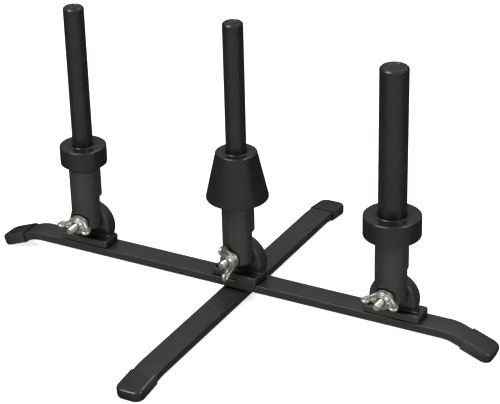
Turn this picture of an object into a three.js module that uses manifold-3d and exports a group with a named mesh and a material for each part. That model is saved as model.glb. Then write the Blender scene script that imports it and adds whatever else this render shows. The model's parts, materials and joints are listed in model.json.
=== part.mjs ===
// Three-peg tilting stand on a folding cross base.
// Millimetres, +Z up. The origin is on the floor, under the middle of the long bar.
// +X runs along the long bar, which carries the three hinged pegs; the cross bar runs along Y.
import * as THREE from 'three';
import { mergeVertices } from 'three/addons/utils/BufferGeometryUtils.js';
import Module from 'manifold-3d';

// ---------------------------------------------------------------- driving dimensions
const GAP = 0.3;                 // running gap kept between neighbouring pieces
const PAST = 1;                  // how far a cutting shape runs past the surface that it cuts
const DEG = Math.PI / 180;

const BAR_WIDTH = 19.4;          // both base bars are the same flat steel bar
const BAR_THICK = 6.4;
const BAR_EDGE = 1.0;            // radius of the bar's long edges

const LONG_BAR = {
  top: 18.6,                     // height of the bar's upper face
  straight: 173.0,               // half length of the straight part
  bendRadius: 30,
  bendAngle: 20.5 * DEG,
};
const CROSS_BAR = {
  top: 11.0,
  straight: 127.6,
  bendRadius: 60,
  bendAngle: 6.8 * DEG,
};

const CAP = {
  length: 24,
  wall: 1.0,                     // wall round the bar
  end: 5.5,                      // solid rubber between the bar's end and the tip
  edge: 2.4,                     // radius of the outer edges
  corner: 7.0,                   // radius of the two outer corners seen from above
  flat: 0.4,                     // depth of the flat that the floor pad is cut to
};

const LEFT_X = -132.5;           // where the hinges stand along the long bar
const PIVOT_X = 3.5;             // the centre hinge is at the pivot of the two bars
const RIGHT_X = 131;
const RIGHT_FORWARD = 3.5;       // the right bracket's ear stands this much nearer the front
const CENTRE_TURN = -6 * DEG;    // the centre bracket stands a little turned on its single bolt

const BRACKET = {
  leftEnd: -20,                  // the foot plate's left end, from the ear's middle
  depth: 18.4,
  plate: 5.4,                    // thickness of the foot plate
  rim: 2.0,                      // width of the rim round the shallow recess
  recess: 2.2,                   // depth of the recess
  earRadius: 18.5,
  earCentre: 30.6,               // height of the centre of the ear's round top
  earFront: 0.6,                 // the ear's front face, in Y
  earBack: 11.0,
};

const HINGE_Z = 37.4;            // height of the tilting axis
const HOLDER = {
  radius: 12.4,
  bottom: 32.4,
  step: 58.5,                    // below this height the rear half is cut away
  cutFront: 0.3,                 // Y of the flat that faces the ear
  spotRadius: 8.8,               // round seat for the washer, in front
  spotDepth: -9.8,               // Y of that seat
  boreDepth: 22,
};
const SPIGOT_RADIUS = 7;         // every peg enters its holder with the same spigot

const BOLT = { radius: 2.9, head: 10, headThick: 4, headFront: 6.6 };
const BOLT_HOLE = 3.3;
const WASHER = { outer: 6.8, thick: 1.3 };
const NUT = {
  hubBase: 7.8,
  hubTip: 5,
  hubLength: 6.6,
  wingThick: 2.8,
  wingEdge: 0.6,                 // bevel round each wing
  span: 14.6,                    // distance from the bolt axis to a wing's outer side
  reach: 12.6,                   // distance from the seat to a wing's tip
  tipRadius: 3.7,
};
const PEG = { bevel: 1.2, dishRadius: 2.0, dishDepth: 0.8 };
const SUPPORT = { lipWidth: 1.4, lipHeight: 0.5, edge: 1.4 };

const PIVOT = { radius: 2.9, head: 5.8, headThick: 2.6, washer: 6.5, washerThick: 0.6, bite: 2.6 };
const SCREW = { radius: 1.6, head: 3.2, headThick: 1.8, spacing: 28, length: 9.2 };

const BLACK_COAT = { color: 0x2b2c2a, roughness: 0.38, metalness: 0.0 };
const BLACK_PLASTIC = { color: 0x242623, roughness: 0.42, metalness: 0.0 };
const BLACK_RUBBER = { color: 0x201f1e, roughness: 0.55, metalness: 0.0 };
const ZINC = { color: 0xc9cbc2, roughness: 0.3, metalness: 1.0 };

// The three stations: where they stand, how far the bolt and the foot plate reach, the height of
// the holder's top face, and the sizes of the peg and of the support round its foot.
const STATIONS = [
  { side: 'left', x: LEFT_X, forward: 0, turn: 0, nutTurn: -5 * DEG, boltEnd: -27, plateEnd: 21.5,
    holderTop: 85.5, peg: 'narrow_peg', pegRadius: 8, top: 214,
    support: 'left_collar', supportLow: 18.25, supportHigh: 18.25, supportHeight: 15.4 },
  { side: 'centre', x: PIVOT_X, forward: 0, turn: CENTRE_TURN, nutTurn: 97 * DEG, boltEnd: -24, plateEnd: 20,
    holderTop: 84.4, peg: 'tall_peg', pegRadius: 7.75, top: 223.4,
    support: 'centre_cone', supportLow: 24, supportHigh: 15.6, supportHeight: 37.8 },
  { side: 'right', x: RIGHT_X, forward: RIGHT_FORWARD, turn: 0, nutTurn: -4 * DEG, boltEnd: -27, plateEnd: 24,
    holderTop: 83.3, peg: 'wide_peg', pegRadius: 10.5, top: 212.8,
    support: 'right_collar', supportLow: 21.3, supportHigh: 21.3, supportHeight: 16.6 },
];

// ---------------------------------------------------------------- joining and cutting
const wasm = await Module();
wasm.setup();

function toSolid(geometry) {
  const bare = geometry.clone();
  bare.deleteAttribute('normal');
  bare.deleteAttribute('uv');
  const merged = mergeVertices(bare, 1e-4);
  return new wasm.Manifold(new wasm.Mesh({
    numProp: 3,
    vertProperties: new Float32Array(merged.attributes.position.array),
    triVerts: new Uint32Array(merged.index.array),
  }));
}

function toGeometry(solid) {
  const mesh = solid.getMesh();
  const geometry = new THREE.BufferGeometry();
  geometry.setAttribute('position', new THREE.BufferAttribute(mesh.vertProperties, 3));
  geometry.setIndex(new THREE.BufferAttribute(mesh.triVerts, 1));
  geometry.computeVertexNormals();
  return geometry;
}

function cut(body, ...tools) {
  return toGeometry(tools.reduce((left, tool) => left.subtract(toSolid(tool)), toSolid(body)));
}

function join(body, ...others) {
  return toGeometry(others.reduce((sum, other) => sum.add(toSolid(other)), toSolid(body)));
}

// ---------------------------------------------------------------- simple shapes
function box(x0, x1, y0, y1, z0, z1) {
  const geometry = new THREE.BoxGeometry(x1 - x0, y1 - y0, z1 - z0);
  geometry.translate((x0 + x1) / 2, (y0 + y1) / 2, (z0 + z1) / 2);
  return geometry;
}

// A cylinder or cone standing on z0, of radius r0 there and r1 at z1.
function upright(r0, r1, z0, z1, sides = 36) {
  const geometry = new THREE.CylinderGeometry(r1, r0, z1 - z0, sides);
  geometry.rotateX(Math.PI / 2);
  geometry.translate(0, 0, (z0 + z1) / 2);
  return geometry;
}

// A cylinder along Y, centred on x = 0 and on the height z, from y0 to y1.
function lying(radius, y0, y1, z, sides = 28) {
  const geometry = new THREE.CylinderGeometry(radius, radius, y1 - y0, sides);
  geometry.translate(0, (y0 + y1) / 2, z);
  return geometry;
}

// A body turned round Z from [radius, height] pairs that start and end on the axis.
function turned(profile, sides = 32) {
  const points = profile.map(([radius, height]) => new THREE.Vector2(radius, height));
  const geometry = new THREE.LatheGeometry(points, sides);
  geometry.rotateX(Math.PI / 2);
  return geometry;
}

// An outline drawn in X and Z, made solid from y0 to y1.
function slab(shape, y0, y1, edge = 0, curveSegments = 10, edgeSegments = 2) {
  const geometry = new THREE.ExtrudeGeometry(shape, {
    depth: y1 - y0 - 2 * edge,
    bevelEnabled: edge > 0,
    bevelThickness: edge,
    bevelSize: edge,
    bevelOffset: -edge,
    bevelSegments: edgeSegments,
    curveSegments,
  });
  geometry.rotateX(Math.PI / 2);
  geometry.translate(0, y1 - edge, 0);
  return geometry;
}

function mesh(name, geometry, look) {
  const part = new THREE.Mesh(geometry, new THREE.MeshStandardMaterial(look));
  part.name = name;
  return part;
}

// ---------------------------------------------------------------- base bars and their caps
// The slope after each bend is as long as it takes for the cap's lowest edge to pass the floor
// by CAP.flat, which is then cut off level to make the pad that the stand rests on.
function slopeOf(bar) {
  const { bendRadius, bendAngle } = bar;
  const middle = bar.top - BAR_THICK / 2;
  const half = BAR_THICK / 2 + GAP + CAP.wall;
  const startX = bar.straight + bendRadius * Math.sin(bendAngle);
  const startZ = middle - bendRadius * (1 - Math.cos(bendAngle));
  const drop = startZ + CAP.flat - (half - CAP.edge) * Math.cos(bendAngle) - CAP.edge;
  const toEdge = drop / Math.sin(bendAngle);
  const tip = toEdge + CAP.edge;
  return { startX, startZ, half, tip, barEnd: tip - CAP.end - GAP };
}

function barOutline(bar) {
  const { straight, bendRadius, bendAngle, top } = bar;
  const slope = slopeOf(bar);
  const centreZ = top - BAR_THICK / 2 - bendRadius;
  const outer = bendRadius + BAR_THICK / 2;
  const inner = bendRadius - BAR_THICK / 2;
  const up = Math.PI / 2;
  const cos = Math.cos(bendAngle);
  const sin = Math.sin(bendAngle);
  const endX = slope.startX + slope.barEnd * cos;
  const endZ = slope.startZ - slope.barEnd * sin;
  const shape = new THREE.Shape();
  shape.moveTo(-endX + (BAR_THICK / 2) * sin, endZ - (BAR_THICK / 2) * cos);
  shape.lineTo(-endX - (BAR_THICK / 2) * sin, endZ + (BAR_THICK / 2) * cos);
  shape.absarc(-straight, centreZ, outer, up + bendAngle, up, true);
  shape.absarc(straight, centreZ, outer, up, up - bendAngle, true);
  shape.lineTo(endX + (BAR_THICK / 2) * sin, endZ + (BAR_THICK / 2) * cos);
  shape.lineTo(endX - (BAR_THICK / 2) * sin, endZ - (BAR_THICK / 2) * cos);
  shape.absarc(straight, centreZ, inner, up - bendAngle, up, false);
  shape.absarc(-straight, centreZ, inner, up, up + bendAngle, false);
  shape.closePath();
  return shape;
}

function countersunk(x, bottom) {
  const clear = SCREW.radius + GAP;
  const head = upright(SCREW.head + GAP, clear, bottom - 0.01, bottom + SCREW.headThick, 16);
  const shank = upright(clear, clear, bottom, bottom + BAR_THICK + PAST, 16);
  return [head.translate(x, 0, 0), shank.translate(x, 0, 0)];
}

function longBar() {
  const bottom = LONG_BAR.top - BAR_THICK;
  const solid = slab(barOutline(LONG_BAR), -BAR_WIDTH / 2, BAR_WIDTH / 2, BAR_EDGE, 4);
  const pivotHole = upright(BOLT_HOLE, BOLT_HOLE, bottom - PAST, LONG_BAR.top + PAST, 20);
  const holes = [pivotHole.translate(PIVOT_X, 0, 0)];
  for (const x of screwPlaces()) {
    holes.push(...countersunk(x, bottom));
  }
  return mesh('long_bar', cut(solid, ...holes), BLACK_COAT);
}

function crossBar() {
  const solid = slab(barOutline(CROSS_BAR), -BAR_WIDTH / 2, BAR_WIDTH / 2, BAR_EDGE, 4);
  const bottom = CROSS_BAR.top - BAR_THICK;
  const hole = upright(BOLT_HOLE, BOLT_HOLE, bottom - PAST, CROSS_BAR.top + PAST, 20);
  const part = mesh('cross_bar', cut(solid, hole), BLACK_COAT);
  part.rotation.z = Math.PI / 2;
  part.position.x = PIVOT_X;
  return part;
}

// A cap is modelled along +X with its outer tip at x = 0, then laid on the sloping bar end.
function capBody() {
  const halfWidth = BAR_WIDTH / 2 + GAP + CAP.wall;
  const half = BAR_THICK / 2 + GAP + CAP.wall;
  const plan = new THREE.Shape();
  plan.moveTo(-CAP.length, halfWidth);
  plan.lineTo(-CAP.length, -halfWidth);
  plan.absarc(-CAP.corner, -halfWidth + CAP.corner, CAP.corner, -Math.PI / 2, 0, false);
  plan.absarc(-CAP.corner, halfWidth - CAP.corner, CAP.corner, 0, Math.PI / 2, false);
  plan.closePath();
  const body = new THREE.ExtrudeGeometry(plan, {
    depth: 2 * half - 2 * CAP.edge,
    bevelThickness: CAP.edge,
    bevelSize: CAP.edge,
    bevelOffset: -CAP.edge,
    bevelSegments: 3,
    curveSegments: 5,
  });
  body.translate(0, 0, -half + CAP.edge);
  const mouth = box(-CAP.length - PAST, -CAP.length + CAP.edge,
    -halfWidth - PAST, halfWidth + PAST, -half - PAST, half + PAST);
  const socket = box(-CAP.length - PAST, -CAP.end,
    -halfWidth + CAP.wall, halfWidth - CAP.wall, -half + CAP.wall, half - CAP.wall);
  return cut(body, mouth, socket);
}

function cap(name, bar, heading, x = 0) {
  const slope = slopeOf(bar);
  const tipX = slope.startX + slope.tip * Math.cos(bar.bendAngle);
  const tipZ = slope.startZ - slope.tip * Math.sin(bar.bendAngle);
  const body = capBody().rotateY(bar.bendAngle).translate(tipX, 0, tipZ);
  const underFloor = box(tipX - 2 * CAP.length, tipX + CAP.length, -BAR_WIDTH, BAR_WIDTH, -CAP.length, 0);
  const part = mesh(name, cut(body, underFloor), BLACK_RUBBER);
  part.rotation.z = heading;
  part.position.x = x;
  return part;
}

// ---------------------------------------------------------------- pivot of the base
function pivotBolt() {
  const low = CROSS_BAR.top - BAR_THICK - GAP;
  const high = LONG_BAR.top + GAP + PIVOT.bite;
  const { head, headThick, radius } = PIVOT;
  const part = mesh('pivot_bolt', turned([
    [0, low - headThick], [head - 0.8, low - headThick], [head, low - headThick + 0.8],
    [head, low], [radius, low], [radius, high], [0, high],
  ], 28), ZINC);
  part.position.x = PIVOT_X;
  return part;
}

function pivotWasher() {
  const low = CROSS_BAR.top + GAP;
  const high = low + PIVOT.washerThick;
  const ring = upright(PIVOT.washer, PIVOT.washer, low, high, 24);
  const hole = upright(BOLT_HOLE, BOLT_HOLE, low - PAST, high + PAST, 16);
  const part = mesh('pivot_washer', cut(ring, hole), ZINC);
  part.position.x = PIVOT_X;
  return part;
}

// ---------------------------------------------------------------- hinge brackets
function screwPlaces() {
  const outer = STATIONS.filter((station) => station.side !== 'centre');
  return outer.flatMap(({ x }) => [x - SCREW.spacing / 2, x + SCREW.spacing / 2]);
}

function earOutline() {
  const { earRadius, earCentre, plate } = BRACKET;
  const foot = LONG_BAR.top + GAP + plate / 2;
  const shape = new THREE.Shape();
  shape.moveTo(-earRadius, foot);
  shape.lineTo(earRadius, foot);
  shape.absarc(0, earCentre, earRadius, 0, Math.PI, false);
  shape.closePath();
  return shape;
}

function hexPrism(acrossFlats, y0, y1, z) {
  const radius = acrossFlats / Math.sqrt(3);
  const geometry = new THREE.CylinderGeometry(radius, radius, y1 - y0, 6);
  geometry.translate(0, (y0 + y1) / 2, z);
  return geometry;
}

function bracket({ side, forward, plateEnd }) {
  const { leftEnd, depth, plate, rim, recess } = BRACKET;
  const low = LONG_BAR.top + GAP;
  const earFront = BRACKET.earFront - forward;
  const earBack = BRACKET.earBack - forward;
  const plateBody = box(leftEnd, plateEnd, -depth / 2, depth / 2, low, low + plate);
  const ear = slab(earOutline(), earFront, earBack, 0, 16);
  const pocket = box(leftEnd + rim, plateEnd - rim, -depth / 2 + rim, earFront - GAP,
    low + plate - recess, low + plate + PAST);
  const boltHole = lying(BOLT_HOLE, earFront - PAST, earBack + PAST, HINGE_Z, 20);
  const headPocket = hexPrism(BOLT.head + 2 * GAP, BOLT.headFront - forward - GAP, earBack + PAST, HINGE_Z);
  const tools = [pocket, boltHole, headPocket];
  if (side === 'centre') {
    tools.push(upright(BOLT_HOLE, BOLT_HOLE, low - PAST, low + PIVOT.bite + GAP, 20));
  } else {
    const clear = SCREW.radius + GAP;
    const tip = LONG_BAR.top - BAR_THICK + SCREW.length + GAP;
    for (const x of [-SCREW.spacing / 2, SCREW.spacing / 2]) {
      tools.push(upright(clear, clear, low - PAST, tip, 16).translate(x, 0, 0));
    }
  }
  return mesh(`hinge_bracket_${side}`, cut(join(plateBody, ear), ...tools), BLACK_PLASTIC);
}

function bracketScrew(name, x) {
  const low = LONG_BAR.top - BAR_THICK;
  const { head, headThick, radius, length } = SCREW;
  const part = mesh(name, turned([
    [0, low], [head, low], [radius, low + headThick], [radius, low + length], [0, low + length],
  ], 16), ZINC);
  part.position.x = x;
  return part;
}

// ---------------------------------------------------------------- hinge hardware
function hingeBolt({ side, boltEnd }) {
  const shank = lying(BOLT.radius, boltEnd, BOLT.headFront + BOLT.headThick / 2, HINGE_Z, 24);
  const head = hexPrism(BOLT.head, BOLT.headFront, BOLT.headFront + BOLT.headThick, HINGE_Z);
  return mesh(`hinge_bolt_${side}`, join(shank, head), ZINC);
}

function hingeWasher({ side }) {
  const back = HOLDER.spotDepth - GAP;
  const ring = lying(WASHER.outer, back - WASHER.thick, back, HINGE_Z, 24);
  const hole = lying(BOLT_HOLE, back - WASHER.thick - PAST, back + PAST, HINGE_Z, 16);
  return mesh(`hinge_washer_${side}`, cut(ring, hole), ZINC);
}

// One wing, drawn with its distance from the axis in X and its reach along the bolt in Z.
function wingOutline() {
  const { span, reach, tipRadius } = NUT;
  const root = BOLT_HOLE + 0.4;
  const shape = new THREE.Shape();
  shape.moveTo(root, 0.8);
  shape.lineTo(7.2, 1.4);
  shape.quadraticCurveTo(span - 0.6, 3.0, span, reach - tipRadius - 0.5);
  shape.absarc(span - tipRadius, reach - tipRadius, tipRadius, 0, Math.PI, false);
  shape.quadraticCurveTo(7.4, 6.4, root, 5.4);
  shape.closePath();
  return shape;
}

// The nut is modelled with its seat at the origin and its bolt axis along +Z.
function wingNut({ side, nutTurn }) {
  const hub = upright(NUT.hubBase, NUT.hubTip, 0, NUT.hubLength, 20);
  const wing = slab(wingOutline(), -NUT.wingThick / 2, NUT.wingThick / 2, NUT.wingEdge, 5, 1);
  const other = wing.clone().rotateZ(Math.PI);
  const hole = upright(BOLT_HOLE, BOLT_HOLE, -PAST, NUT.hubLength + PAST, 16);
  const part = mesh(`wing_nut_${side}`, cut(join(hub, wing, other), hole), ZINC);
  part.rotation.order = 'YXZ';
  part.rotation.x = Math.PI / 2;
  part.rotation.y = -nutTurn;
  part.position.set(0, HOLDER.spotDepth - 2 * GAP - WASHER.thick, HINGE_Z);
  return part;
}

// ---------------------------------------------------------------- holders, pegs and supports
function holder({ side, holderTop }) {
  const { radius, bottom, step, cutFront, spotRadius, spotDepth, boreDepth } = HOLDER;
  const post = upright(radius, radius, bottom, holderTop, 36);
  const boreRadius = SPIGOT_RADIUS + GAP;
  const behind = box(-radius - PAST, radius + PAST, cutFront, radius + PAST, bottom - PAST, step);
  const seat = lying(spotRadius, -radius - PAST, spotDepth, HINGE_Z, 28);
  const boltHole = lying(BOLT_HOLE, -radius - PAST, radius + PAST, HINGE_Z, 20);
  const bore = upright(boreRadius, boreRadius, holderTop - boreDepth, holderTop + PAST, 28);
  return mesh(`peg_holder_${side}`, cut(post, behind, seat, boltHole, bore), BLACK_PLASTIC);
}

// A peg stands on its holder's top face; its spigot goes down into the bore.
function peg({ peg: name, pegRadius, holderTop, top }) {
  const foot = holderTop + GAP;
  const spigot = holderTop - HOLDER.boreDepth + GAP;
  const { bevel, dishRadius, dishDepth } = PEG;
  return mesh(name, turned([
    [0, spigot], [SPIGOT_RADIUS, spigot], [SPIGOT_RADIUS, foot], [pegRadius, foot],
    [pegRadius, top - bevel], [pegRadius - bevel, top],
    [dishRadius, top], [dishRadius - dishDepth / 2, top - dishDepth], [0, top - dishDepth],
  ], 28), BLACK_PLASTIC);
}

// The collar or cone is a ring round the foot of the peg, with a low lip at the peg.
function support({ support: name, pegRadius, holderTop, supportLow, supportHigh, supportHeight }) {
  const inner = pegRadius + GAP;
  const { lipWidth, lipHeight, edge } = SUPPORT;
  const lipRadius = inner + lipWidth;
  const low = holderTop + GAP;
  const high = low + supportHeight;
  const profile = [
    [inner, low], [supportLow - edge, low], [supportLow, low + edge],
    [supportHigh, high - edge], [supportHigh - edge, high], [lipRadius, high],
    [lipRadius, high + lipHeight], [inner, high + lipHeight], [inner, low],
  ];
  return mesh(name, turned(profile, 36), BLACK_PLASTIC);
}

function station(place) {
  const post = new THREE.Group();
  post.position.y = -place.forward;
  post.add(
    hingeBolt(place), hingeWasher(place), wingNut(place),
    holder(place), peg(place), support(place));
  const group = new THREE.Group();
  group.position.x = place.x;
  group.rotation.z = place.turn;
  group.add(bracket(place), post);
  return group;
}

// ---------------------------------------------------------------- the stand
const stand = new THREE.Group();
stand.add(longBar(), crossBar(), pivotBolt(), pivotWasher());
stand.add(
  cap('foot_cap_right', LONG_BAR, 0),
  cap('foot_cap_left', LONG_BAR, Math.PI),
  cap('foot_cap_rear', CROSS_BAR, Math.PI / 2, PIVOT_X),
  cap('foot_cap_front', CROSS_BAR, -Math.PI / 2, PIVOT_X));
screwPlaces().forEach((x, index) => stand.add(bracketScrew(`bracket_screw_${index + 1}`, x)));
STATIONS.forEach((place) => stand.add(station(place)));

export default stand;
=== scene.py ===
# Looks for a three-peg woodwind stand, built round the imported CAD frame.
# Shapes are drawn in millimetres, in the row frame, and scaled to metres when they are shown.
import json
import math

import bmesh
import bpy
from mathutils import Matrix, Vector


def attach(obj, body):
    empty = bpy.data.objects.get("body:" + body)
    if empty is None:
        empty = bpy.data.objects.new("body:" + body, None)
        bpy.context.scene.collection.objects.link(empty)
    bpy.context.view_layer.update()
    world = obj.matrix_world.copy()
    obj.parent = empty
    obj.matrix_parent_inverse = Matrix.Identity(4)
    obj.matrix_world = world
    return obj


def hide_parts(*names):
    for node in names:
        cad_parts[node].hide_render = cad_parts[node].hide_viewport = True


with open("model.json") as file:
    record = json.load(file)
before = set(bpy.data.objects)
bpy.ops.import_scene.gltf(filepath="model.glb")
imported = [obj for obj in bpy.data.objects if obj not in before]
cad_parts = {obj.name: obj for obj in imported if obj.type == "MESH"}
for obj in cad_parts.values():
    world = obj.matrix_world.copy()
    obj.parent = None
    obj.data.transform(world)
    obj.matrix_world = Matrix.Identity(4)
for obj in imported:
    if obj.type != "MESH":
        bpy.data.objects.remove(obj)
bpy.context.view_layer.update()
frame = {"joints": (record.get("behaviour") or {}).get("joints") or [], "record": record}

MM = 0.001
COLLECTION = bpy.context.scene.collection
BEHAVIOUR = frame["record"]["behaviour"]
BODY_OF = {node: body for body, nodes in BEHAVIOUR["bodies"].items() for node in nodes}
JOINTS = {joint["name"]: joint for joint in frame["joints"]}

# ---------------------------------------------------------------- camera
AIM = Vector((0.00756, 0.01167, 0.07621))   # the point at the middle of the picture
CAMERA_AZIMUTH = math.radians(29.037)
CAMERA_ELEVATION = math.radians(26.431)
CAMERA_DISTANCE = 1.33596
CAMERA_ROLL = math.radians(-1.457)
CAMERA_LENS = 128.14
CAMERA_SENSOR = 36.0
CAMERA_CLIP = (0.05, 20.0)


def add_camera():
    data = bpy.data.cameras.new("camera")
    data.lens = CAMERA_LENS
    data.sensor_width = CAMERA_SENSOR
    data.clip_start, data.clip_end = CAMERA_CLIP
    camera = bpy.data.objects.new("camera", data)
    COLLECTION.objects.link(camera)
    back = Vector((
        math.sin(CAMERA_AZIMUTH) * math.cos(CAMERA_ELEVATION),
        -math.cos(CAMERA_AZIMUTH) * math.cos(CAMERA_ELEVATION),
        math.sin(CAMERA_ELEVATION)))
    camera.location = AIM + back * CAMERA_DISTANCE
    upright = (-back).to_track_quat("-Z", "Y")
    camera.rotation_mode = "QUATERNION"
    camera.rotation_quaternion = upright @ Matrix.Rotation(CAMERA_ROLL, 4, "Z").to_quaternion()
    bpy.context.scene.camera = camera


add_camera()

# ---------------------------------------------------------------- sizes, as in the CAD model
GAP = 0.3     # between neighbouring pieces
PAST = 1      # how far a cutting tool reaches past the face it cuts
BAR_WIDTH, BAR_THICK, BAR_EDGE = 19.4, 6.4, 0.45
LONG_BAR = {"top": 18.6, "straight": 173.0, "radius": 30.0, "bend": math.radians(20.5)}
CROSS_BAR = {"top": 11.0, "straight": 127.6, "radius": 60.0, "bend": math.radians(6.8)}
CAP = {"length": 24.0, "wall": 1.0, "end": 5.5, "edge": 2.4, "corner": 7.0, "flat": 0.4}
PLATE = {"left": -20.0, "depth": 18.4, "thick": 5.4, "rim": 2.0, "recess": 2.2}
EAR = {"radius": 18.5, "centre": 30.6, "front": 0.6, "back": 11.0, "front_edge": 1.6, "back_edge": 0.4}
HINGE_Z = JOINTS["left_post_tilt"]["pos_m"][2] / MM
HOLDER = {"radius": 12.4, "bottom": 32.4, "step": 58.5, "cut": 0.3,
          "seat_radius": 8.8, "seat": -9.8, "bore": 22.0}
SPIGOT = 7.0
BOLT = {"radius": 2.9, "head": 10.0, "head_thick": 4.0, "head_front": 6.6, "hole": 3.3}
THREAD = {"start": 7.0, "pitch": 1.0, "depth": 0.42, "chamfer": 1.1, "sides": 40, "rows_per_turn": 10}
WASHER = {"radius": 6.8, "thick": 1.3}
PIVOT = {"radius": 2.9, "head": 5.8, "head_thick": 2.6, "bite": 2.6, "washer": 6.5, "washer_thick": 0.6}
SCREW = {"radius": 1.6, "head": 3.2, "head_thick": 1.8, "spacing": 28.0, "length": 9.2}
PIVOT_X = JOINTS["cross_leg_fold"]["pos_m"][0] / MM
PLATE_LOW = LONG_BAR["top"] + GAP

STATIONS = {
    "left": {
        "turn": 0.0, "nut_turn": -5.0, "bolt_end": -27.0, "plate_end": 21.5, "holder_top": 85.5,
        "peg": {"node": "narrow_peg", "radius": 8.0, "top": 214.0},
        "support": {"node": "left_collar", "foot": 18.25, "head": 18.25, "height": 15.4}},
    "centre": {
        "turn": -6.0, "nut_turn": 97.0, "bolt_end": -24.0, "plate_end": 20.0, "holder_top": 84.4,
        "peg": {"node": "tall_peg", "radius": 7.75, "top": 223.4},
        "support": {"node": "centre_cone", "foot": 24.0, "head": 15.6, "height": 37.8}},
    "right": {
        "turn": 0.0, "nut_turn": -4.0, "bolt_end": -27.0, "plate_end": 24.0, "holder_top": 83.3,
        "peg": {"node": "wide_peg", "radius": 10.5, "top": 212.8},
        "support": {"node": "right_collar", "foot": 21.3, "head": 21.3, "height": 16.6}},
}
for side, place in STATIONS.items():
    hinge = JOINTS[side + "_post_tilt"]["pos_m"]
    place["x"] = hinge[0] / MM
    place["forward"] = -hinge[1] / MM
    place["spin"] = (Matrix.Translation((place["x"], 0, 0))
                     @ Matrix.Rotation(math.radians(place["turn"]), 4, "Z"))
    place["post"] = place["spin"] @ Matrix.Translation((0, -place["forward"], 0))
ALONG_BOLT = Matrix.Rotation(math.radians(90), 4, "X")   # turns +Z to the front, -Y


# ---------------------------------------------------------------- materials
class Finish:
    """A Principled material with its procedural detail, in metres of object space."""

    def __init__(self, name):
        self.material = bpy.data.materials.new(name)
        self.material.use_nodes = True
        self.tree = self.material.node_tree
        self.shader = self.tree.nodes["Principled BSDF"]
        self.where = self.tree.nodes.new("ShaderNodeTexCoord").outputs["Object"]

    def link(self, source, target):
        self.tree.links.new(source, target)

    def noise(self, scale, detail=2.0, rough=0.5):
        node = self.tree.nodes.new("ShaderNodeTexNoise")
        node.inputs["Scale"].default_value = scale
        node.inputs["Detail"].default_value = detail
        node.inputs["Roughness"].default_value = rough
        self.link(self.where, node.inputs["Vector"])
        return node.outputs["Fac"]

    def spread(self, source, low, high, start=0.3, end=0.7):
        """Goes from low to high while the source goes from start to end."""
        node = self.tree.nodes.new("ShaderNodeMapRange")
        for key, value in (("From Min", start), ("From Max", end), ("To Min", low), ("To Max", high)):
            node.inputs[key].default_value = value
        self.link(source, node.inputs["Value"])
        return node.outputs["Result"]

    def mix(self, amount, first, second):
        """From the first colour to the second; each is three numbers or another node's colour."""
        node = self.tree.nodes.new("ShaderNodeMix")
        node.data_type = "RGBA"
        for key, colour in (("A", first), ("B", second)):
            if isinstance(colour, tuple):
                node.inputs[key].default_value = (*colour, 1)
            else:
                self.link(colour, node.inputs[key])
        self.link(amount, node.inputs["Factor"])
        return node.outputs["Result"]

    def painted_crevice_shade(self, reach, low, high):
        """Painted shade: falls from 1 to 0 where neighbouring surfaces close the point in, so that crevices,
        recesses and gaps between parts are darkened as if in shadow.
        """
        node = self.tree.nodes.new("ShaderNodeAmbientOcclusion")
        node.samples = 12
        node.inputs["Distance"].default_value = reach
        return self.spread(node.outputs["AO"], 0.0, 1.0, low, high)

    def bump(self, height, distance, strength, under=None):
        node = self.tree.nodes.new("ShaderNodeBump")
        node.inputs["Distance"].default_value = distance
        node.inputs["Strength"].default_value = strength
        self.link(height, node.inputs["Height"])
        if under:
            self.link(under, node.inputs["Normal"])
        return node.outputs["Normal"]

    def edges(self, low, high):
        """Rises from 0 to 1 where the surface turns outwards, as along a worn edge."""
        geometry = self.tree.nodes.new("ShaderNodeNewGeometry")
        return self.spread(geometry.outputs["Pointiness"], 0.0, 1.0, low, high)


def black_finish(name, dark, light, worn, roughness, grain, depth):
    """Black coat or plastic: mottled colour, uneven gloss, a fine grain, paler edges, and painted shade that
    darkens its crevices.
    """
    finish = Finish(name)
    mottle = finish.spread(finish.noise(scale=60.0, detail=4.0, rough=0.6), 0.0, 1.0)
    colour = finish.mix(mottle, dark, light)
    colour = finish.mix(finish.edges(0.515, 0.62), colour, worn)
    # painted shade: the colour darkens to near black in crevices, recesses and gaps between parts, where shadow
    # falls
    shade = finish.painted_crevice_shade(reach=0.012, low=0.25, high=0.85)
    colour = finish.mix(shade, (0.002, 0.002, 0.002), colour)
    finish.link(colour, finish.shader.inputs["Base Color"])
    gloss = finish.noise(scale=140.0, detail=3.0)
    finish.link(finish.spread(gloss, roughness - 0.04, roughness + 0.05), finish.shader.inputs["Roughness"])
    fine = finish.bump(finish.noise(grain), distance=depth, strength=0.3)
    broad = finish.bump(finish.noise(scale=90.0, detail=1.0), distance=0.00006, strength=0.12, under=fine)
    finish.link(broad, finish.shader.inputs["Normal"])
    return finish.material


def zinc_finish():
    """Bright zinc plate: a faint yellow-green passivation over a fine cast and tumbled surface."""
    finish = Finish("zinc")
    tint = finish.spread(finish.noise(scale=220.0, detail=3.0, rough=0.6), 0.0, 1.0)
    colour = finish.mix(tint, (0.40, 0.43, 0.35), (0.54, 0.57, 0.50))
    colour = finish.mix(finish.edges(0.52, 0.66), colour, (0.80, 0.83, 0.78))
    # painted shade: the zinc colour darkens in crevices and gaps between parts, where shadow falls
    shade = finish.painted_crevice_shade(reach=0.008, low=0.2, high=0.8)
    colour = finish.mix(shade, (0.10, 0.11, 0.08), colour)
    finish.link(colour, finish.shader.inputs["Base Color"])
    gloss = finish.noise(scale=500.0, detail=4.0, rough=0.6)
    finish.link(finish.spread(gloss, 0.24, 0.38), finish.shader.inputs["Roughness"])
    fine = finish.bump(finish.noise(scale=2600.0), distance=0.00002, strength=0.35)
    broad = finish.bump(finish.noise(scale=420.0), distance=0.00006, strength=0.2, under=fine)
    finish.link(broad, finish.shader.inputs["Normal"])
    finish.shader.inputs["Metallic"].default_value = 0.9
    return finish.material


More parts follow.
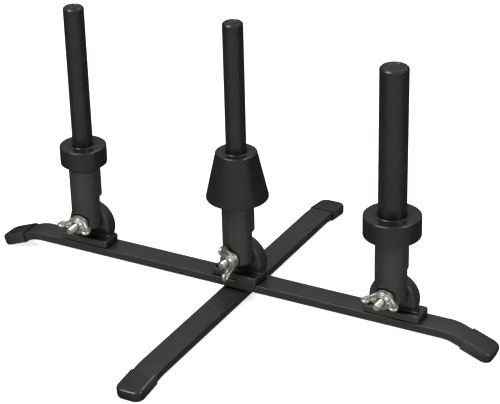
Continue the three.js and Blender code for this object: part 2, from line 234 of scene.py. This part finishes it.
FINISHES = {
    "bar_coat": black_finish(
        "bar_coat", dark=(0.0130, 0.0126, 0.0106), light=(0.0180, 0.0174, 0.0150),
        worn=(0.026, 0.025, 0.022), roughness=0.33, grain=1500.0, depth=0.00002),
    "cap_plastic": black_finish(
        "cap_plastic", dark=(0.0085, 0.0084, 0.0074), light=(0.0115, 0.0114, 0.0102),
        worn=(0.028, 0.027, 0.025), roughness=0.24, grain=2400.0, depth=0.00001),
    "moulded_plastic": black_finish(
        "moulded_plastic", dark=(0.0165, 0.0190, 0.0170), light=(0.0205, 0.0235, 0.0212),
        worn=(0.040, 0.044, 0.040), roughness=0.22, grain=2600.0, depth=0.00001),
    "peg_plastic": black_finish(
        "peg_plastic", dark=(0.0070, 0.0084, 0.0070), light=(0.0098, 0.0112, 0.0098),
        worn=(0.024, 0.026, 0.023), roughness=0.22, grain=2400.0, depth=0.00001),
    "zinc": zinc_finish(),
}

# ---------------------------------------------------------------- drawing tools
STRAIGHT = 1e-4        # a corner that turns by less than this, in radians, is left alone
ON_AXIS = 1e-6         # a radius below this is a single point on the axis
SIDE_SHARE = 0.49      # a rounded corner takes at most this share of either side


def round_corner(before, corner, after, radius, steps):
    """The arc that softens one corner of an outline, as a list of points."""
    to_before = Vector(before) - Vector(corner)
    to_after = Vector(after) - Vector(corner)
    half = to_before.angle(to_after) / 2
    reach = min(radius / math.tan(half), SIDE_SHARE * to_before.length, SIDE_SHARE * to_after.length)
    to_before.normalize()
    to_after.normalize()
    centre = Vector(corner) + (to_before + to_after).normalized() * (reach / math.cos(half))
    first = Vector(corner) + to_before * reach - centre
    last = Vector(corner) + to_after * reach - centre
    sweep = first.angle(last)
    if sweep < STRAIGHT:
        return [tuple(corner)]
    points = []
    for step in range(steps + 1):
        share = step / steps
        point = (first * math.sin((1 - share) * sweep) + last * math.sin(share * sweep)) / math.sin(sweep)
        points.append(tuple(centre + point))
    return points


def soften(outline, closed=False, steps=5):
    """Turns (a, b, radius) corners into (a, b) points with the arcs put in."""
    points = []
    count = len(outline)
    for index, (a, b, radius) in enumerate(outline):
        end = not closed and index in (0, count - 1)
        if radius <= 0 or end:
            points.append((a, b))
            continue
        before = outline[index - 1][:2]
        after = outline[(index + 1) % count][:2]
        points.extend(round_corner(before, (a, b), after, radius, steps))
    return points


def circle(radius, sides, z):
    """Points round the Z axis."""
    return [(radius * math.cos(2 * math.pi * k / sides), radius * math.sin(2 * math.pi * k / sides), z)
            for k in range(sides)]


def hexagon(corner):
    """Six (a, b) points at this distance from the middle."""
    return [(corner * math.cos(math.radians(60 * k)), corner * math.sin(math.radians(60 * k)))
            for k in range(6)]


def loft(rings, closed=False):
    """A skin over rings of points; it closes on itself, or each end is capped."""
    bm = bmesh.new()
    rows = [[bm.verts.new(point) for point in ring] for ring in rings]
    pairs = list(zip(rows, rows[1:]))
    if closed:
        pairs.append((rows[-1], rows[0]))
    for low, high in pairs:
        for index in range(len(low)):
            after = (index + 1) % len(low)
            bm.faces.new((low[index], low[after], high[after], high[index]))
    if not closed:
        bm.faces.new(reversed(rows[0]))
        bm.faces.new(rows[-1])
    return bm


def lathe(profile, sides=96, closed=False):
    """A body turned round Z from (radius, height) points; the ends lie on the axis unless closed."""
    bm = bmesh.new()
    rows = []
    for radius, height in profile:
        if radius < ON_AXIS:
            rows.append([bm.verts.new((0, 0, height))] * sides)
        else:
            rows.append([bm.verts.new(point) for point in circle(radius, sides, height)])
    pairs = list(zip(rows, rows[1:]))
    if closed:
        pairs.append((rows[-1], rows[0]))
    for low, high in pairs:
        for index in range(sides):
            after = (index + 1) % sides
            corners = []
            for vertex in (low[index], low[after], high[after], high[index]):
                if vertex not in corners:
                    corners.append(vertex)
            if len(corners) > 2:
                bm.faces.new(corners)
    return bm


def rounded_rectangle(half_a, half_b, radius, steps=5):
    corners = [(half_a, half_b), (-half_a, half_b), (-half_a, -half_b), (half_a, -half_b)]
    return soften([(a, b, radius) for a, b in corners], closed=True, steps=steps)


def to_object(name, bm, matrix=None):
    if matrix:
        bm.transform(matrix)
    bmesh.ops.recalc_face_normals(bm, faces=bm.faces)
    mesh = bpy.data.meshes.new(name)
    bm.to_mesh(mesh)
    bm.free()
    piece = bpy.data.objects.new(name, mesh)
    COLLECTION.objects.link(piece)
    return piece


def bake(piece):
    """Turns the piece's modifiers into its mesh."""
    bpy.context.view_layer.update()
    graph = bpy.context.evaluated_depsgraph_get()
    mesh = bpy.data.meshes.new_from_object(piece.evaluated_get(graph))
    old = piece.data
    piece.modifiers.clear()
    piece.data = mesh
    bpy.data.meshes.remove(old)


def combine(piece, operation, tools):
    """Cuts, joins or trims the piece with the tools, and removes them."""
    for tool in tools:
        modifier = piece.modifiers.new(operation, "BOOLEAN")
        modifier.operation = operation
        modifier.solver = "EXACT"
        modifier.object = tool
    bake(piece)
    for tool in tools:
        mesh = tool.data
        bpy.data.objects.remove(tool)
        bpy.data.meshes.remove(mesh)


def carve(piece, *tools):
    combine(piece, "DIFFERENCE", tools)


def remesh(piece, voxel, smoothing):
    """One moulded skin over everything in the piece, with its corners softened."""
    modifier = piece.modifiers.new("skin", "REMESH")
    modifier.mode = "VOXEL"
    modifier.voxel_size = voxel
    smooth = piece.modifiers.new("soft", "SMOOTH")
    smooth.factor = 0.5
    smooth.iterations = smoothing
    bake(piece)


def show(piece, node, slot, sharp=35.0):
    """Puts the finished shape in the frame in place of its CAD node."""
    mesh = piece.data
    mesh.transform(Matrix.Scale(MM, 4))
    mesh.polygons.foreach_set("use_smooth", [True] * len(mesh.polygons))
    mesh.set_sharp_from_angle(angle=math.radians(sharp))
    mesh.materials.clear()
    mesh.materials.append(FINISHES[slot])
    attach(piece, BODY_OF[node])
    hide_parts(node)


def block(x0, x1, y0, y1, z0, z1, edge=0.0, draft=0.0):
    """A block with rounded upright corners; draft narrows its foot."""
    sharpest = 0.01
    rings = []
    for z, inset in ((z0, draft), (z1, 0.0)):
        ring = rounded_rectangle((x1 - x0) / 2 - inset, (y1 - y0) / 2 - inset, max(edge, sharpest))
        rings.append([(a + (x0 + x1) / 2, b + (y0 + y1) / 2, z) for a, b in ring])
    return loft(rings)


def rod(radius, y0, y1, sides=64):
    """A plain round bar along Y at the height of the hinges, for cutting holes."""
    bm = lathe([(0, y0), (radius, y0), (radius, y1), (0, y1)], sides)
    bm.transform(Matrix.Translation((0, 0, HINGE_Z)) @ Matrix.Rotation(math.radians(-90), 4, "X"))
    return bm


# ---------------------------------------------------------------- base bars and caps
BEND_STEPS = 18
CAP_CORNER_STEPS = 12
CAP_EDGE_STEPS = 8


def slope_of(bar):
    """Where the bar's sloping end starts, half the cap's height, and how far down the slope it ends."""
    middle = bar["top"] - BAR_THICK / 2
    half = BAR_THICK / 2 + GAP + CAP["wall"]
    start_x = bar["straight"] + bar["radius"] * math.sin(bar["bend"])
    start_z = middle - bar["radius"] * (1 - math.cos(bar["bend"]))
    drop = start_z + CAP["flat"] - (half - CAP["edge"]) * math.cos(bar["bend"]) - CAP["edge"]
    tip = drop / math.sin(bar["bend"]) + CAP["edge"]
    return start_x, start_z, half, tip


def bar_skin(bar):
    """A flat bar along X with both ends bent down, lofted along its middle line."""
    start_x, start_z, _, tip = slope_of(bar)
    bend = bar["bend"]
    reach = tip - CAP["end"] - GAP
    middle = bar["top"] - BAR_THICK / 2
    half_path = [(0.0, middle, 0.0)]
    for step in range(BEND_STEPS + 1):
        angle = bend * step / BEND_STEPS
        half_path.append((bar["straight"] + bar["radius"] * math.sin(angle),
                          middle - bar["radius"] * (1 - math.cos(angle)), angle))
    half_path.append((start_x + reach * math.cos(bend), start_z - reach * math.sin(bend), bend))
    path = [(-x, z, -angle) for x, z, angle in reversed(half_path[1:])] + half_path
    section = rounded_rectangle(BAR_WIDTH / 2, BAR_THICK / 2, BAR_EDGE, steps=6)
    rings = [[(x + up * math.sin(angle), across, z + up * math.cos(angle)) for across, up in section]
             for x, z, angle in path]
    return loft(rings)


def screw_places():
    outer = (STATIONS["left"]["x"], STATIONS["right"]["x"])
    return [x + step * SCREW["spacing"] / 2 for x in outer for step in (-1, 1)]


def countersink(x, low):
    """The tool for a screw hole through the bar whose underside is at the height low."""
    clear = SCREW["radius"] + GAP
    head = SCREW["head"] + GAP
    high = low + BAR_THICK + PAST
    profile = [(0, low - PAST), (head, low - PAST), (head, low), (clear, low + SCREW["head_thick"]),
               (clear, high), (0, high)]
    return to_object("tool", lathe(profile, sides=40), Matrix.Translation((x, 0, 0)))


def add_bars():
    low = LONG_BAR["top"] - BAR_THICK
    long_bar = to_object("long_bar_detail", bar_skin(LONG_BAR))
    carve(long_bar, *[countersink(x, low) for x in screw_places()])
    show(long_bar, "long_bar", "bar_coat")
    across = Matrix.Translation((PIVOT_X, 0, 0)) @ Matrix.Rotation(math.radians(90), 4, "Z")
    show(to_object("cross_bar_detail", bar_skin(CROSS_BAR), across), "cross_bar", "bar_coat")


def cap_plan(inset):
    """The cap seen from above, drawn inset from its outer edge; its mouth is inset only a little."""
    mouth_share = 0.12
    half = BAR_WIDTH / 2 + GAP + CAP["wall"] - inset
    mouth = -CAP["length"] + mouth_share * inset
    corner = CAP["corner"]
    outline = [(mouth, half), (mouth, -half)]
    for start in (-90, 0):
        centre = (half + inset - corner) * (-1 if start < 0 else 1)
        for step in range(CAP_CORNER_STEPS + 1):
            angle = math.radians(start + 90 * step / CAP_CORNER_STEPS)
            outline.append((-corner + (corner - inset) * math.cos(angle),
                            centre + (corner - inset) * math.sin(angle)))
    return outline


def add_cap(node, bar, heading, x=0.0):
    """A hollow cap on one end of a bar, with its underside cut off flat at the floor."""
    start_x, start_z, half, tip = slope_of(bar)
    bend, edge = bar["bend"], CAP["edge"]
    rings = []
    for sign in (-1, 1):
        for step in range(CAP_EDGE_STEPS + 1):
            angle = math.radians(90 * (step if sign > 0 else CAP_EDGE_STEPS - step) / CAP_EDGE_STEPS)
            inset = edge * (1 - math.cos(angle))
            height = sign * (half - edge + edge * math.sin(angle))
            rings.append([(a, b, height) for a, b in cap_plan(inset)])
    cap = to_object(node + "_detail", loft(rings))
    inner = BAR_WIDTH / 2 + GAP
    mouth = -CAP["length"] - 2 * PAST
    hollow = block(mouth, -CAP["end"], -inner, inner, -half + CAP["wall"], half - CAP["wall"])
    carve(cap, to_object("tool", hollow))
    end = (start_x + tip * math.cos(bend), 0, start_z - tip * math.sin(bend))
    cap.data.transform(
        Matrix.Translation((x, 0, 0)) @ Matrix.Rotation(heading, 4, "Z")
        @ Matrix.Translation(end) @ Matrix.Rotation(bend, 4, "Y"))
    bm = bmesh.new()
    bm.from_mesh(cap.data)
    geometry = bm.verts[:] + bm.edges[:] + bm.faces[:]
    cut = bmesh.ops.bisect_plane(bm, geom=geometry, plane_co=(0, 0, 0), plane_no=(0, 0, -1), clear_outer=True)
    bmesh.ops.holes_fill(bm, edges=[item for item in cut["geom_cut"] if isinstance(item, bmesh.types.BMEdge)])
    bmesh.ops.recalc_face_normals(bm, faces=bm.faces)
    bm.to_mesh(cap.data)
    bm.free()
    show(cap, node, "cap_plastic", sharp=30)


# ---------------------------------------------------------------- small zinc parts
def cross_recess(radius, depth, floor, x):
    """A cross-head recess cut upwards into a head whose face is at the height floor."""
    half = radius * 0.22
    tools = []
    for turn in (0, 90):
        slot = block(-radius, radius, -half, half, floor - PAST, floor + depth)
        slot.transform(Matrix.Translation((x, 0, 0)) @ Matrix.Rotation(math.radians(turn), 4, "Z"))
        tools.append(to_object("tool", slot))
    return tools


def washer_skin(radius, low, thick, edges, steps, sides):
    """A flat ring on a bolt; the edges are the roundings of its four corners."""
    high = low + thick
    corners = [(BOLT["hole"], low), (radius, low), (radius, high), (BOLT["hole"], high)]
    outline = [(a, b, edge) for (a, b), edge in zip(corners, edges)]
    return lathe(soften(outline, closed=True, steps=steps), sides, closed=True)


def add_base_hardware():
    at_pivot = Matrix.Translation((PIVOT_X, 0, 0))
    low = CROSS_BAR["top"] - BAR_THICK - GAP
    high = LONG_BAR["top"] + GAP + PIVOT["bite"]
    head, thick, shank = PIVOT["head"], PIVOT["head_thick"], PIVOT["radius"]
    profile = soften([
        (0, low - thick, 0), (head, low - thick, 1.3), (head, low, 0.2), (shank, low, 0.3),
        (shank, high, 0.4), (0, high, 0)])
    bolt = to_object("pivot_bolt_detail", lathe(profile, sides=64), at_pivot)
    carve(bolt, *cross_recess(3.0, 1.5, low - thick, PIVOT_X))
    show(bolt, "pivot_bolt", "zinc")

    washer = washer_skin(PIVOT["washer"], CROSS_BAR["top"] + GAP, PIVOT["washer_thick"],
                         edges=(0.1, 0.15, 0.15, 0.1), steps=3, sides=64)
    show(to_object("pivot_washer_detail", washer, at_pivot), "pivot_washer", "zinc")

    bottom = LONG_BAR["top"] - BAR_THICK
    top = bottom + SCREW["length"]
    for number, x in enumerate(screw_places(), 1):
        profile = soften([
            (0, bottom, 0), (SCREW["head"], bottom, 0.15), (SCREW["radius"], bottom + SCREW["head_thick"], 0.3),
            (SCREW["radius"], top - 1, 0.1), (0.5, top, 0.1), (0, top, 0)], steps=3)
        node = f"bracket_screw_{number}"
        screw = to_object(node + "_detail", lathe(profile, sides=40), Matrix.Translation((x, 0, 0)))
        carve(screw, *cross_recess(1.9, 1.1, bottom, x))
        show(screw, node, "zinc")


def thread(radius, end):
    """Rings of a threaded bar along +Z: the groove winds round it, and its far end is chamfered."""
    flank, crest, run_in, chamfer_slope = 1.25, 0.2, 1.5, 0.75
    start, pitch, sides = THREAD["start"], THREAD["pitch"], THREAD["sides"]
    rows = int((end - start) / pitch * THREAD["rows_per_turn"])
    rings = []
    for row in range(rows + 1):
        z = start + (end - start) * row / rows
        chamfer = max(0.0, z - (end - THREAD["chamfer"])) * chamfer_slope
        fade = min(1.0, (z - start) / (run_in * pitch))
        ring = []
        for k in range(sides):
            share = (z / pitch + k / sides) % 1.0
            groove = max(0.0, flank * (1 - abs(2 * share - 1)) - crest)
            size = min(radius - THREAD["depth"] * groove * fade, radius - chamfer)
            turn = 2 * math.pi * k / sides
            ring.append((size * math.cos(turn), size * math.sin(turn), z))
        rings.append(ring)
    return rings


def add_hinge_bolt(side, place):
    """A hex bolt, drawn along +Z with its head behind, and laid along the hinge."""
    radius = BOLT["radius"]
    plain = -BOLT["head_front"]
    rings = [circle(radius, THREAD["sides"], plain)] + thread(radius, -place["bolt_end"])
    bolt = to_object(f"hinge_bolt_{side}_detail", loft(rings))
    across = BOLT["head"] / 2
    corner = across / math.cos(math.radians(30))
    back = -BOLT["head_front"] - BOLT["head_thick"]
    head = [(0, back, 0), (across - 0.3, back, 0.3), (corner + 0.3, back + 1.2, 0.2),
            (corner + 0.3, plain, 0), (0, plain, 0)]
    turned = to_object("tool", lathe(soften(head, steps=3), sides=72))
    prism = loft([[(a, b, z) for a, b in hexagon(corner)] for z in (back - PAST, plain + 0.4)])
    combine(turned, "INTERSECT", [to_object("tool", prism)])
    combine(bolt, "UNION", [turned])
    bolt.data.transform(place["post"] @ Matrix.Translation((0, 0, HINGE_Z)) @ ALONG_BOLT)
    show(bolt, f"hinge_bolt_{side}", "zinc", sharp=50)


def add_hinge_washer(side, place):
    washer = washer_skin(WASHER["radius"], -HOLDER["seat"] + GAP, WASHER["thick"],
                         edges=(0.15, 0.2, 0.35, 0.2), steps=4, sides=72)
    piece = to_object(f"hinge_washer_{side}_detail", washer,
                      place["post"] @ Matrix.Translation((0, 0, HINGE_Z)) @ ALONG_BOLT)
    show(piece, f"hinge_washer_{side}", "zinc")


# The wing nut. Profiles are (radius, height) from its seat, with a rounding where there is a third number.
NUT_HUB = [(0, 0, 0), (7.7, 0, 0.6), (7.2, 1.6, 0.8), (5.0, 5.4, 0.9), (4.6, 6.6, 0.6), (0, 6.6, 0)]
NUT_BORE = [(0, -1), (3.2, -1), (3.2, 6.0), (3.8, 6.9), (3.8, 8), (0, 8)]
WING = {"span": 14.6, "reach": 12.6, "tip": 3.7, "root": 2.0, "web_half": 0.75, "web_inset": 0.5, "rim": 1.35}
WAIST = {"reach": 12.4, "thin": 1.3, "bulge": 5.6, "flat": 4.5, "rise": 6.4, "height": 4.6, "taper": 1.6}
RIM_SIDES = 12
WAIST_STEPS = 16


def curve_points(start, control, end, steps):
    """Points on a quadratic curve, without its start."""
    points = []
    for step in range(1, steps + 1):
        t = step / steps
        point = (1 - t) ** 2 * Vector(start) + 2 * t * (1 - t) * Vector(control) + t * t * Vector(end)
        points.append(tuple(point))
    return points


def sideways(path, index):
    """The direction along a closed path at one of its points."""
    return (Vector(path[(index + 1) % len(path)]) - Vector(path[index - 1])).normalized()


def wing_outline(inset):
    """One wing in the plane of the bolt: distance from the axis, and reach along it."""
    span, reach, tip, root = WING["span"], WING["reach"], WING["tip"], WING["root"]
    outline = [(root, 0.2), (6.4, 0.4)]
    outline += curve_points((6.4, 0.4), (span - 0.8, 2.0), (span, reach - tip), 12)
    for step in range(1, 16):
        angle = math.radians(12 * step)
        outline.append((span - tip + tip * math.cos(angle), reach - tip + tip * math.sin(angle)))
    outline += curve_points((span - 2 * tip, reach - tip), (6.6, 6.2), (root, 5.6), 10)
    moved = []
    for index, point in enumerate(outline):
        along = sideways(outline, index)
        moved.append((point[0] - along.y * inset, point[1] + along.x * inset))
    return moved


def wing(turn):
    """A thin dished web inside a thick raised rim."""
    web_half, rim = WING["web_half"], WING["rim"]
    web = loft([[(a, y, b) for a, b in wing_outline(WING["web_inset"])] for y in (-web_half, web_half)])
    path = wing_outline(rim)
    rings = []
    for index, (a, b) in enumerate(path):
        along = sideways(path, index)
        ring = []
        for k in range(RIM_SIDES):
            angle = 2 * math.pi * k / RIM_SIDES
            out = rim * math.cos(angle)
            ring.append((a - along.y * out, rim * math.sin(angle), b + along.x * out))
        rings.append(ring)
    rim_tube = loft(rings, closed=True)
    for bm in (web, rim_tube):
        bm.transform(Matrix.Rotation(turn, 4, "Z"))
    return [web, rim_tube]


def nut_waist():
    """The curved body between the two wings, broad at the hub and thin at the wings."""
    reach, flat = WAIST["reach"], WAIST["flat"]
    rings = []
    for step in range(2 * WAIST_STEPS + 1):
        x = reach * (step / WAIST_STEPS - 1)
        share = abs(x) / reach
        half = WAIST["thin"] + WAIST["bulge"] * (1 - share ** 2) ** 2
        low = 0.1 + WAIST["rise"] * max(0.0, (abs(x) - flat) / (reach - flat)) ** 1.7
        high = low + WAIST["height"] - WAIST["taper"] * share
        ring = rounded_rectangle(half, (high - low) / 2, 1.0, steps=4)
        rings.append([(x, y, up + (low + high) / 2) for y, up in ring])
    return loft(rings)


def merge(shapes):
    """Several skins in one mesh, for remesh to make one of."""
    mesh = bpy.data.meshes.new("parts")
    whole = bmesh.new()
    for bm in shapes:
        bmesh.ops.recalc_face_normals(bm, faces=bm.faces)
        bm.to_mesh(mesh)
        bm.free()
        whole.from_mesh(mesh)
        mesh.clear_geometry()
    bpy.data.meshes.remove(mesh)
    return whole


def add_wing_nut(side, place):
    shapes = [lathe(soften(NUT_HUB, steps=4), sides=64), nut_waist()] + wing(0.0) + wing(math.pi)
    nut = to_object(f"wing_nut_{side}_detail", merge(shapes))
    remesh(nut, voxel=0.2, smoothing=6)
    carve(nut, to_object("tool", lathe(NUT_BORE, sides=48)))
    seat = HOLDER["seat"] - 2 * GAP - WASHER["thick"]
    nut.data.transform(place["post"] @ Matrix.Translation((0, seat, HINGE_Z))
                       @ Matrix.Rotation(-math.radians(place["nut_turn"]), 4, "Y") @ ALONG_BOLT)
    show(nut, f"wing_nut_{side}", "zinc", sharp=50)


# ---------------------------------------------------------------- brackets
EAR_STEPS = 64
EAR_EDGE_STEPS = 6


def ear_ring(inset, y):
    """The ear's outline: a round disc down to the plate, and a foot inside the plate."""
    radius = EAR["radius"] - inset
    top = PLATE_LOW + PLATE["thick"]
    foot = PLATE_LOW + 1.0
    low = math.asin((top - EAR["centre"]) / radius)
    points = [(radius * math.cos(low), foot)]
    for step in range(EAR_STEPS + 1):
        angle = low + (math.pi - 2 * low) * step / EAR_STEPS
        points.append((radius * math.cos(angle), EAR["centre"] + radius * math.sin(angle)))
    points.append((-radius * math.cos(low), foot))
    return [(x, y, z) for x, z in points]


def ear(forward):
    """The thick upright disc of a bracket, its front edge rounded more than its back edge."""
    front, back = EAR["front"] - forward, EAR["back"] - forward
    rings = []
    for edge, y, way in ((EAR["front_edge"], front, 1), (EAR["back_edge"], back, -1)):
        arc = []
        for k in range(EAR_EDGE_STEPS + 1):
            turn = math.radians(90 * k / EAR_EDGE_STEPS)
            arc.append(ear_ring(edge * (1 - math.sin(turn)), y + way * edge * (1 - math.cos(turn))))
        rings.append(arc)
    return loft(rings[0] + rings[1][::-1])


def add_bracket(side, place):
    """A foot plate with a recess in front of its ear, the bolt's hole, and the hex pocket for its head."""
    left, right = PLATE["left"], place["plate_end"]
    half = PLATE["depth"] / 2
    top = PLATE_LOW + PLATE["thick"]
    levels = ((PLATE_LOW, 0.5), (PLATE_LOW + 0.5, 0), (top - 0.6, 0), (top - 0.18, 0.18), (top, 0.6))
    rings = []
    for height, inset in levels:
        ring = rounded_rectangle((right - left) / 2 - inset, half - inset, 1.4)
        rings.append([(a + (left + right) / 2, b, height) for a, b in ring])
    plate = to_object(f"hinge_bracket_{side}_detail", loft(rings))
    combine(plate, "UNION", [to_object("tool", ear(place["forward"]))])

    rim = PLATE["rim"]
    front = EAR["front"] - place["forward"]
    recess = block(left + rim, right - rim, -half + rim, front - GAP,
                   top - PLATE["recess"], top + PAST, edge=1.0, draft=0.25)
    hole = rod(BOLT["hole"], front - 2 * PAST, EAR["back"] + 2 * PAST)
    corner = (BOLT["head"] + 2 * GAP) / math.sqrt(3)
    depth = (BOLT["head_front"] - place["forward"] - GAP, EAR["back"] + 2 * PAST)
    pocket = loft([[(a, y, HINGE_Z + b) for a, b in hexagon(corner)] for y in depth])
    carve(plate, *[to_object("tool", bm) for bm in (recess, hole, pocket)])
    remesh(plate, voxel=0.35, smoothing=3)
    plate.data.transform(place["spin"])
    show(plate, f"hinge_bracket_{side}", "moulded_plastic", sharp=60)


# ---------------------------------------------------------------- holders, pegs and supports
HOLDER_GROOVE = ((0.0, 3.6), (0.35, 3.3), (0.35, 2.7), (0.0, 2.4))   # (depth, distance below the top)
PEG_TOP = {"chamfer": 1.3, "rim": 0.62, "dish": 0.58, "dish_depth": 0.5}   # rim and dish: shares of the radius
PEG_DIMPLE = ((2.0, 0.5, 0.3), (1.3, 1.2, 0.4), (0.0, 1.1, 0))   # (radius, distance below the top, rounding)
LIP_WIDTH, LIP_HEIGHT = 1.4, 0.5


def add_holder(side, place):
    """A round holder; its lower rear half is cut away to lie against the ear."""
    radius, bottom, top = HOLDER["radius"], HOLDER["bottom"], place["holder_top"]
    wall = [(radius, bottom + 2.0 * step, 0) for step in range(2, 24)]
    groove = [(radius - depth, top - down, 0) for depth, down in HOLDER_GROOVE]
    profile = soften([(0, bottom, 0), (radius, bottom, 1.6), *wall, *groove, (radius, top, 0.6), (0, top, 0)])
    holder = to_object(f"peg_holder_{side}_detail", lathe(profile, sides=128))
    wide = radius + 3 * PAST
    behind = block(-wide, wide, HOLDER["cut"], wide, bottom - 3 * PAST, HOLDER["step"])
    seat = rod(HOLDER["seat_radius"], -wide, HOLDER["seat"], sides=96)
    hole = rod(BOLT["hole"], -wide, wide)
    clear, deep, high = SPIGOT + GAP, top - HOLDER["bore"], top + 2 * PAST
    bore = lathe([(0, deep), (clear, deep), (clear, high), (0, high)], sides=72)
    carve(holder, *[to_object("tool", bm) for bm in (behind, seat, hole, bore)])
    holder.data.transform(place["post"])
    show(holder, f"peg_holder_{side}", "moulded_plastic")


def add_peg(place):
    """A plain peg on a spigot, with a chamfered top, a shallow dish in it and a moulding dimple."""
    node, radius, top = place["peg"]["node"], place["peg"]["radius"], place["peg"]["top"]
    foot = place["holder_top"] + GAP
    spigot = place["holder_top"] - HOLDER["bore"] + GAP
    chamfer = PEG_TOP["chamfer"]
    profile = soften([
        (0, spigot, 0), (SPIGOT, spigot, 0.8), (SPIGOT, foot, 0.2), (radius, foot, 0.3),
        (radius, top - chamfer, 0.6), (radius - chamfer, top, 0.5), (radius * PEG_TOP["rim"], top, 0.3),
        (radius * PEG_TOP["dish"], top - PEG_TOP["dish_depth"], 0.3),
        *[(across, top - down, rounding) for across, down, rounding in PEG_DIMPLE]], steps=4)
    peg = to_object(node + "_detail", lathe(profile, sides=112), place["post"])
    show(peg, node, "peg_plastic", sharp=40)


def add_support(place):
    """A collar or cone round the peg's foot, with a thin lip at the top of its bore."""
    support = place["support"]
    node, foot, head = support["node"], support["foot"], support["head"]
    inner = place["peg"]["radius"] + GAP
    low = place["holder_top"] + GAP
    high = low + support["height"]
    lip = inner + LIP_WIDTH
    profile = soften([
        (inner, low, 0.3), (foot, low, 1.3), (head, high, 1.2), (lip + LIP_HEIGHT, high, 0.4),
        (lip, high + LIP_HEIGHT, 0.3), (inner, high + LIP_HEIGHT, 0.3)], closed=True, steps=6)
    ring = to_object(node + "_detail", lathe(profile, sides=144, closed=True), place["post"])
    show(ring, node, "peg_plastic", sharp=40)


add_bars()
add_cap("foot_cap_right", LONG_BAR, 0.0)
add_cap("foot_cap_left", LONG_BAR, math.pi)
add_cap("foot_cap_rear", CROSS_BAR, math.pi / 2, PIVOT_X)
add_cap("foot_cap_front", CROSS_BAR, -math.pi / 2, PIVOT_X)
add_base_hardware()
for side, place in STATIONS.items():
    add_bracket(side, place)
    add_hinge_bolt(side, place)
    add_hinge_washer(side, place)
    add_wing_nut(side, place)
    add_holder(side, place)
    add_peg(place)
    add_support(place)

# ---------------------------------------------------------------- floor, light and surroundings
FLOOR_HALF = 6.0
FLOOR_ALBEDO = 0.92
FLOOR_GLOW = 0.75
LIGHT_AIM = Vector((0, 0, 0.1))
LIGHT_DISTANCE = 1.6
# What the surfaces reflect: the low and high strength round a direction, and where the rise starts.
FRONT_LIGHT = (0.45, -0.85, -0.25)
FRONT_RANGE = (0.03, 0.52, 0.15)
ABOVE_RANGE = (0.0, 0.75, -0.1)


def add_floor():
    """White paper, kept out of reflections so that round parts keep their dark sides."""
    half = FLOOR_HALF
    mesh = bpy.data.meshes.new("floor")
    corners = [(-half, -half, 0), (half, -half, 0), (half, half, 0), (-half, half, 0)]
    mesh.from_pydata(corners, [], [(0, 1, 2, 3)])
    floor = bpy.data.objects.new("floor", mesh)
    COLLECTION.objects.link(floor)
    material = bpy.data.materials.new("floor_paper")
    material.use_nodes = True
    shader = material.node_tree.nodes["Principled BSDF"]
    shader.inputs["Base Color"].default_value = (FLOOR_ALBEDO, FLOOR_ALBEDO, FLOOR_ALBEDO, 1)
    shader.inputs["Roughness"].default_value = 0.9
    shader.inputs["Specular IOR Level"].default_value = 0.1
    shader.inputs["Emission Color"].default_value = (1, 1, 1, 1)
    shader.inputs["Emission Strength"].default_value = FLOOR_GLOW
    mesh.materials.append(material)
    floor.visible_glossy = False


def add_area(name, azimuth, elevation, size, power):
    """A soft box that looks at the middle of the stand. Azimuth 0 is in front, 90 to the right."""
    data = bpy.data.lights.new(name, "AREA")
    data.shape = "RECTANGLE"
    data.size, data.size_y = size
    data.energy = power
    light = bpy.data.objects.new(name, data)
    COLLECTION.objects.link(light)
    turn, rise = math.radians(azimuth), math.radians(elevation)
    away = Vector((math.sin(turn) * math.cos(rise), -math.cos(turn) * math.cos(rise), math.sin(rise)))
    light.location = LIGHT_AIM + away * LIGHT_DISTANCE
    light.rotation_mode = "QUATERNION"
    light.rotation_quaternion = (-away).to_track_quat("-Z", "Y")


def add_surroundings():
    """White to the eye; what the surfaces reflect is dim behind, and brighter in front and overhead."""
    world = bpy.data.worlds.new("studio")
    world.use_nodes = True
    tree = world.node_tree
    seen = tree.nodes["Background"]
    seen.inputs["Color"].default_value = (1, 1, 1, 1)
    seen.inputs["Strength"].default_value = 1.0
    where = tree.nodes.new("ShaderNodeTexCoord").outputs["Generated"]

    def toward(direction, low, high, start):
        """Rises from low to high as the direction turns towards the given one."""
        dot = tree.nodes.new("ShaderNodeVectorMath")
        dot.operation = "DOT_PRODUCT"
        dot.inputs[1].default_value = Vector(direction).normalized()
        rise = tree.nodes.new("ShaderNodeMapRange")
        rise.interpolation_type = "SMOOTHSTEP"
        for key, value in (("From Min", start), ("From Max", 1.0), ("To Min", low), ("To Max", high)):
            rise.inputs[key].default_value = value
        tree.links.new(where, dot.inputs[0])
        tree.links.new(dot.outputs["Value"], rise.inputs["Value"])
        return rise.outputs["Result"]

    total = tree.nodes.new("ShaderNodeMath")
    total.operation = "ADD"
    tree.links.new(toward(FRONT_LIGHT, *FRONT_RANGE), total.inputs[0])
    tree.links.new(toward((0, 0, 1), *ABOVE_RANGE), total.inputs[1])
    lit = tree.nodes.new("ShaderNodeBackground")
    tree.links.new(total.outputs["Value"], lit.inputs["Strength"])
    path = tree.nodes.new("ShaderNodeLightPath")
    mix = tree.nodes.new("ShaderNodeMixShader")
    tree.links.new(path.outputs["Is Camera Ray"], mix.inputs["Fac"])
    tree.links.new(lit.outputs["Background"], mix.inputs[1])
    tree.links.new(seen.outputs["Background"], mix.inputs[2])
    tree.links.new(mix.outputs["Shader"], tree.nodes["World Output"].inputs["Surface"])
    bpy.context.scene.world = world


add_floor()
add_area("key", azimuth=-25, elevation=48, size=(1.0, 0.8), power=24)
add_area("fill", azimuth=80, elevation=30, size=(0.5, 0.9), power=7)
add_area("back", azimuth=170, elevation=60, size=(1.0, 0.5), power=5)
add_surroundings()
bpy.context.scene.view_settings.view_transform = "Standard"
